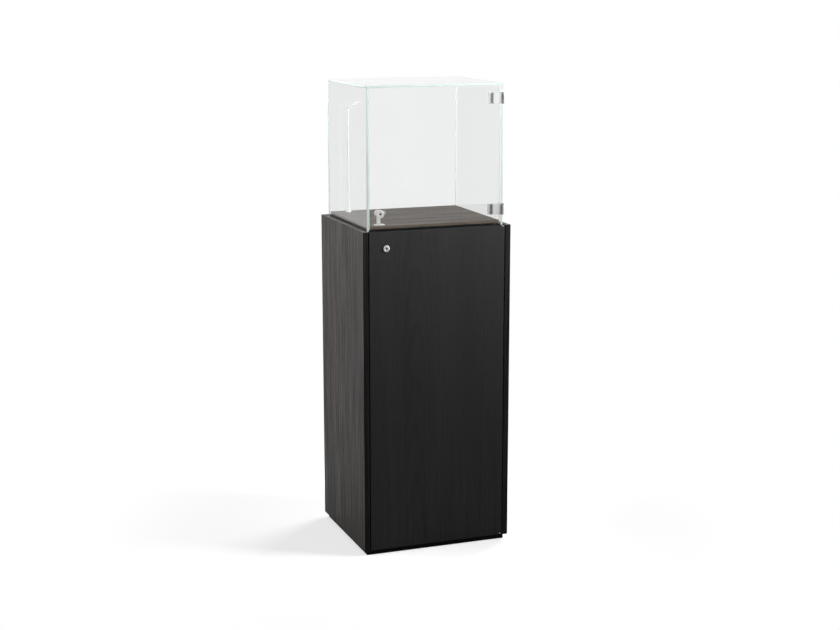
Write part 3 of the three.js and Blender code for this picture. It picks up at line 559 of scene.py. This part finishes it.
def screws(body, mesh, name, places, outward):
    """Screw heads on a face of a CAD node, turned as a hand leaves them."""
    for index, place in enumerate(places):
        made = bpy.data.objects.new(f"{name}_{index + 1}", mesh)
        made.location = Vector(place) * MM
        made.rotation_mode = "QUATERNION"
        turn = SCREW_TURN + SCREW_TURN_STEP * index
        spin = Matrix.Rotation(turn, 3, "Z").to_quaternion()
        made.rotation_quaternion = Vector(outward).to_track_quat("Z", "Y") @ spin
        bpy.context.scene.collection.objects.link(made)
        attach(made, body)


# ---------------------------------------------------------------- stage


def camera():
    data = bpy.data.cameras.new("camera")
    data.sensor_width = CAMERA_SENSOR
    data.lens = CAMERA_LENS
    made = bpy.data.objects.new("camera", data)
    made.location = CAMERA_PLACE
    made.rotation_euler = Euler(
        (math.radians(90 - CAMERA_PITCH), 0.0, -math.radians(CAMERA_YAW)), "XYZ")
    bpy.context.scene.collection.objects.link(made)
    bpy.context.scene.camera = made


def lamp(name, place, target, side, power, beam):
    data = bpy.data.lights.new(name, "AREA")
    data.shape = "SQUARE"
    data.size = side
    data.energy = power
    data.spread = math.radians(beam)
    made = bpy.data.objects.new(name, data)
    made.location = place
    made.rotation_euler = (Vector(target) - Vector(place)).to_track_quat("-Z", "Y").to_euler()
    made.visible_camera = False
    made.visible_transmission = False
    made.visible_glossy = name not in UNMIRRORED_LAMPS
    bpy.context.scene.collection.objects.link(made)


def background_rays(graph):
    """1 for the rays that show the background: seen straight, in metal or through glass."""
    path = graph.node("ShaderNodeLightPath").outputs
    mirrored = graph.math("MAXIMUM", path["Is Glossy Ray"], path["Is Transmission Ray"])
    return graph.math("MAXIMUM", path["Is Camera Ray"], mirrored)


def mirrored_rays(graph):
    """1 for the rays that a shiny face has mirrored, also where they came through glass since."""
    depth = graph.node("ShaderNodeLightPath").outputs["Glossy Depth"]
    return graph.math("MINIMUM", depth, 1.0)


def mirrored_room(graph, frontness, leftness):
    """Brightness of the background. Mirrored rays find the studio dim in front of the object,
    where no backdrop hangs, and greyer at the left. All other rays find it white."""
    mirrored = mirrored_rays(graph)
    brightness = 1.0
    for place, low, high, left_over in (
        (frontness, FRONT_DIM_FROM, FRONT_DIM_TO, FRONT_DIM),
        (leftness, LEFT_DIM_FROM, LEFT_DIM_TO, LEFT_DIM),
    ):
        share = graph.math("MULTIPLY", mirrored, graph.ramp(place, low, high))
        kept = graph.math("SUBTRACT", 1.0, graph.math("MULTIPLY", share, 1.0 - left_over))
        brightness = graph.math("MULTIPLY", kept, brightness)
    return brightness


def white_world():
    world = bpy.data.worlds.new("studio")
    bpy.context.scene.world = world
    graph = Graph(world)
    direction = graph.node("ShaderNodeTexCoord").outputs["Generated"]
    split = graph.node("ShaderNodeSeparateXYZ", {0: direction}).outputs
    leftness, frontness = (graph.math("MULTIPLY", split[axis], -1.0) for axis in (0, 1))
    light = graph.node(
        "ShaderNodeBackground", {"Color": WHITE, "Strength": WORLD_STRENGTH})
    white = graph.node(
        "ShaderNodeBackground",
        {"Color": WHITE, "Strength": mirrored_room(graph, frontness, leftness)})
    graph.surface(graph.node(
        "ShaderNodeMixShader",
        {0: background_rays(graph), 1: light.outputs[0], 2: white.outputs[0]},
    ).outputs[0], "ShaderNodeOutputWorld")


def pale_floor():
    """A pale floor that holds the shadow near the object and fades to white further out."""
    mesh = bpy.data.meshes.new("floor")
    shape = bmesh.new()
    bmesh.ops.create_circle(shape, cap_ends=True, radius=FLOOR_RADIUS, segments=64)
    shape.to_mesh(mesh)
    shape.free()
    floor = bpy.data.objects.new("floor", mesh)
    bpy.context.scene.collection.objects.link(floor)
    material, graph = new_material("pale_floor")
    place = graph.node("ShaderNodeTexCoord").outputs["Object"]
    distance = graph.node("ShaderNodeVectorMath", {0: place}, operation="LENGTH").outputs["Value"]
    far = graph.ramp(distance, FLOOR_LIT_RADIUS, FLOOR_WHITE_RADIUS)
    split = graph.node("ShaderNodeSeparateXYZ", {0: place}).outputs
    beyond = graph.math("SUBTRACT", distance, FLOOR_LIT_RADIUS, clamp=True)
    leftness, frontness = (
        graph.math("MULTIPLY", graph.math("DIVIDE", split[axis], distance),
                   graph.math("MULTIPLY", beyond, -1.0))
        for axis in (0, 1))
    dull = graph.node("ShaderNodeBsdfDiffuse", {"Color": grey(FLOOR_BOUNCE_ALBEDO)})
    lit = graph.node("ShaderNodeBsdfDiffuse", {"Color": grey(FLOOR_SHOWN_ALBEDO)})
    raised = graph.math("SUBTRACT", FLOOR_LIFT, graph.math(
        "MULTIPLY", mirrored_rays(graph), FLOOR_LIFT - FLOOR_MIRRORED_LIFT))
    lift = graph.node("ShaderNodeEmission", {"Color": WHITE, "Strength": raised})
    near = graph.node("ShaderNodeAddShader", {0: lit.outputs[0], 1: lift.outputs[0]})
    white = graph.node(
        "ShaderNodeEmission",
        {"Color": WHITE, "Strength": mirrored_room(graph, frontness, leftness)})
    shown = graph.node(
        "ShaderNodeMixShader", {0: far, 1: near.outputs[0], 2: white.outputs[0]})
    graph.surface(graph.node(
        "ShaderNodeMixShader",
        {0: background_rays(graph), 1: dull.outputs[0], 2: shown.outputs[0]},
    ).outputs[0])
    mesh.materials.append(material)


# ---------------------------------------------------------------- the object


def fasteners(zinc, satin, painted_recess_shade):
    """The screws that hold the small fittings. Places are in millimetres. The third material is
    painted on the floors of the recesses as painted shade.
    """
    wood_screw = screw_mesh("wood_screw", 3.0 * MM, 1.5 * MM, cross(1.9 * MM, 0.42 * MM),
                            1.1 * MM, (zinc, painted_recess_shade))
    sunk_screw = screw_mesh("sunk_screw", 3.1 * MM, 0.2 * MM, cross(1.9 * MM, 0.42 * MM),
                            0.18 * MM, (zinc, painted_recess_shade))
    hex_screw = screw_mesh("hex_screw", 4.4 * MM, 1.2 * MM, circle(1.6 * MM, 6), 1.1 * MM,
                           (satin, painted_recess_shade))
    grub_screw = screw_mesh("grub_screw", 1.9 * MM, 0.4 * MM, circle(0.95 * MM, 6), 0.36 * MM,
                            (satin, painted_recess_shade))
    for z, name in ((1315.0, "top"), (997.5, "bottom")):
        screws("glass_door", hex_screw, f"hinge_{name}_screw",
               [(178.0, -167.3, z)], (0, 1, 0))
        screws("cabinet", grub_screw, f"hinge_{name}_grub_screw",
               [(198.2, -163.0, z - 8.0), (198.2, -163.0, z + 8.0)], (-1, 0, 0))
    screws("cabinet", sunk_screw, "deck_strike_screw",
           [(-169.5, -145.0, 966.5), (-152.5, -145.0, 966.5)], (0, 0, 1))
    screws("cabinet", wood_screw, "cabinet_strike_screw",
           [(-160.5, -160.0, 931.0), (-150.5, -160.0, 931.0)], (0, 0, -1))
    for z, name in ((941.5, "top"), (25.2, "bottom")):
        screws("cabinet", sunk_screw, f"pivot_{name}_screw",
               [(178.5, -178.1, z), (191.5, -178.1, z)], (0, -1, 0))


def dress(nodes, names, material):
    for name in names:
        nodes[name].data.materials.clear()
        nodes[name].data.materials.append(material)


def groups_of(nodes):
    """Names of the CAD nodes that share a material."""
    locks = ("cabinet_lock", "glass_lock")
    hinges = ("hinge_top", "hinge_bottom")
    return {
        "plinth": [f"plinth_{side}" for side in ("front", "back", "left", "right")],
        "sides": ["side_panel_left", "side_panel_right"],
        "supports": [name for name in nodes if name.startswith("shelf_support")],
        "pivots": [name for name in nodes if name.startswith("pivot_")],
        "bumpers": ["door_bumper_top", "door_bumper_bottom"],
        "lock_housings": [f"{lock}_housing" for lock in locks],
        "lock_plugs": [f"{lock}_plug" for lock in locks],
        "lock_zinc": [f"{lock}_{piece}" for lock in locks
                      for piece in ("cam", "cam_nut", "barrel_nut")],
        "hinges": [f"{hinge}_{piece}" for hinge in hinges
                   for piece in ("clamp", "front_plate", "back_plate", "pin")],
        "light": ["light_foot", "light_pole", "light_head"],
    }


def dress_boards(nodes, groups, smoothing):
    # For the side panels, the lighter tone on the top edges is painted top light and sheen, and
    # the lighter tone on the inner faces is painted light inside the case.
    dress(nodes, ["side_panel_left"], wood(
        "side_veneer", srgb(50, 47, 46), "Z", pith=(-0.26, 0.03), figure=3.0, specular=0.21,
        edges=(("Y", 0.1, 0.35), ("Z", 2.1, 0.0), ("+X", 1.8, 0.0))))
    dress(nodes, ["side_panel_right"], wood(
        "side_veneer_right", srgb(50, 47, 46), "Z", pith=(0.27, -0.04), lean=-0.04, figure=3.0,
        specular=0.21, edges=(("Y", 0.1, 0.35), ("Z", 2.1, 0.0), ("-X", 1.8, 0.0))))
    # The door's colour is the sides' veneer written darker and greyer, as painted shade for the
    # dimmer light on the front. The lighter tone on its back face is painted light inside the
    # case.
    dress(nodes, ["front_door"], wood(
        "door_veneer_painted_shade_and_light", srgb(43, 43, 43), "Z", pith=(-0.07, -0.235), warmth=0.05,
        edges=(("X", 0.1, 0.4), ("Z", 0.1, 0.5), ("+Y", 1.6, 0.0))))
    # For the back panel, the lighter tone on the top edge is painted top light and sheen, and the
    # lighter tone on the inner face is painted light inside the case.
    dress(nodes, ["back_panel"], wood(
        "back_veneer", srgb(49, 46, 44), "Z", pith=(0.06, 0.24), lean=-0.05,
        edges=(("X", 0.3, 0.2), ("Z", 2.1, 0.0), ("-Y", 1.8, 0.0))))
    # The inner veneer is written lighter than the outer one, as painted light inside the case.
    dress(nodes, ["bottom_panel", "shelf"], wood(
        "inner_veneer_painted_light", srgb(72, 67, 63), "X", pith=(0.02, 0.3), figure=1.6))
    # For the deck, the lighter tone on the end and front edges is painted light.
    dress(nodes, ["deck_panel"], wood(
        "deck_laminate", srgb(54, 48, 44), "X", pith=(-0.05, 0.92), lean=0.03, figure=2.4,
        roughness=0.45, edges=(("X", 2.0, 0.0), ("Y", 2.5, 0.0))))
    dress(nodes, ["top_panel", "deck_riser", *groups["plinth"]], board_black("black_board"))
    soften(nodes, [*groups["plinth"], *groups["sides"], "front_door", "back_panel",
                   "bottom_panel", "shelf", "top_panel", "deck_panel", "deck_riser"],
           smoothing, BOARD_EDGE)


def dress_panes(nodes, smoothing):
    for axis, names, tint in (
        ("X", ["glass_left", "glass_right"], (0.992, 0.998, 0.996, 1.0)),
        ("Y", ["glass_back", "glass_door"], (0.986, 0.993, 0.991, 1.0)),
        ("Z", ["glass_top"], (0.986, 0.993, 0.991, 1.0)),
    ):
        dress(nodes, names, glass(f"clear_glass_{axis.lower()}", axis, tint))
        soften(nodes, names, smoothing, GLASS_EDGE)


def dress_metal(nodes, groups, smoothing):
    """Locks, hinges and other fittings. Gives the zinc and the hinges' chrome, which the screws
    share."""
    nickel = metal("satin_nickel", NICKEL, 0.35, smudge=0.04, polish=0.5)
    plug = metal("lock_plug", NICKEL, 0.3, smudge=0.04, polish=0.6, keyhole_shades=LOCK_AXES)
    satin = metal("satin_chrome", (0.42, 0.425, 0.43, 1.0), 0.5, smudge=0.03, polish=0.2)
    zinc = metal("zinc_steel", (0.52, 0.53, 0.54, 1.0), 0.36, brushed="Z")
    dress(nodes, [*groups["lock_housings"], "deck_lock_strike"], nickel)
    dress(nodes, groups["lock_plugs"], plug)
    dress(nodes, groups["hinges"], satin)
    dress(nodes, [*groups["lock_zinc"], *groups["supports"], *groups["pivots"],
                  "cabinet_lock_strike", "light_tilt_pin"], zinc)
    soften(nodes, [*groups["lock_housings"], *groups["lock_plugs"], *groups["lock_zinc"],
                   *groups["hinges"], *groups["supports"], *groups["pivots"],
                   "deck_lock_strike", "cabinet_lock_strike"], smoothing, METAL_EDGE)
    return zinc, satin


def dress_light_and_plastic(nodes, groups, smoothing):
    """The light, its supply and the bumpers. Gives the black plastic."""
    dress(nodes, groups["light"], enamel("white_enamel", srgb(224, 224, 222)))
    dress(nodes, ["light_lens"], lens("light_lens"))
    soften(nodes, [*groups["light"], "light_lens"], smoothing, METAL_EDGE)
    black = plastic("black_plastic", srgb(28, 28, 28))
    dress(nodes, ["light_driver", "light_wire", "cable_grommet"], black)
    dress(nodes, groups["bumpers"], plastic("clear_rubber", srgb(190, 194, 192), 0.6))
    soften(nodes, ["light_driver", "cable_grommet", *groups["bumpers"]], smoothing,
           PLASTIC_EDGE)
    return black


def main():
    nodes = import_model()["nodes"]
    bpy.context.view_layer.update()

    smoothing = smoothing_group()
    groups = groups_of(nodes)
    dress_boards(nodes, groups, smoothing)
    dress_panes(nodes, smoothing)
    zinc, satin = dress_metal(nodes, groups, smoothing)
    black = dress_light_and_plastic(nodes, groups, smoothing)
    fasteners(zinc, satin, black)

    camera()
    for name, settings in LAMPS.items():
        lamp(name, *settings)
    white_world()
    pale_floor()
    bpy.context.scene.view_settings.view_transform = "Standard"


main()
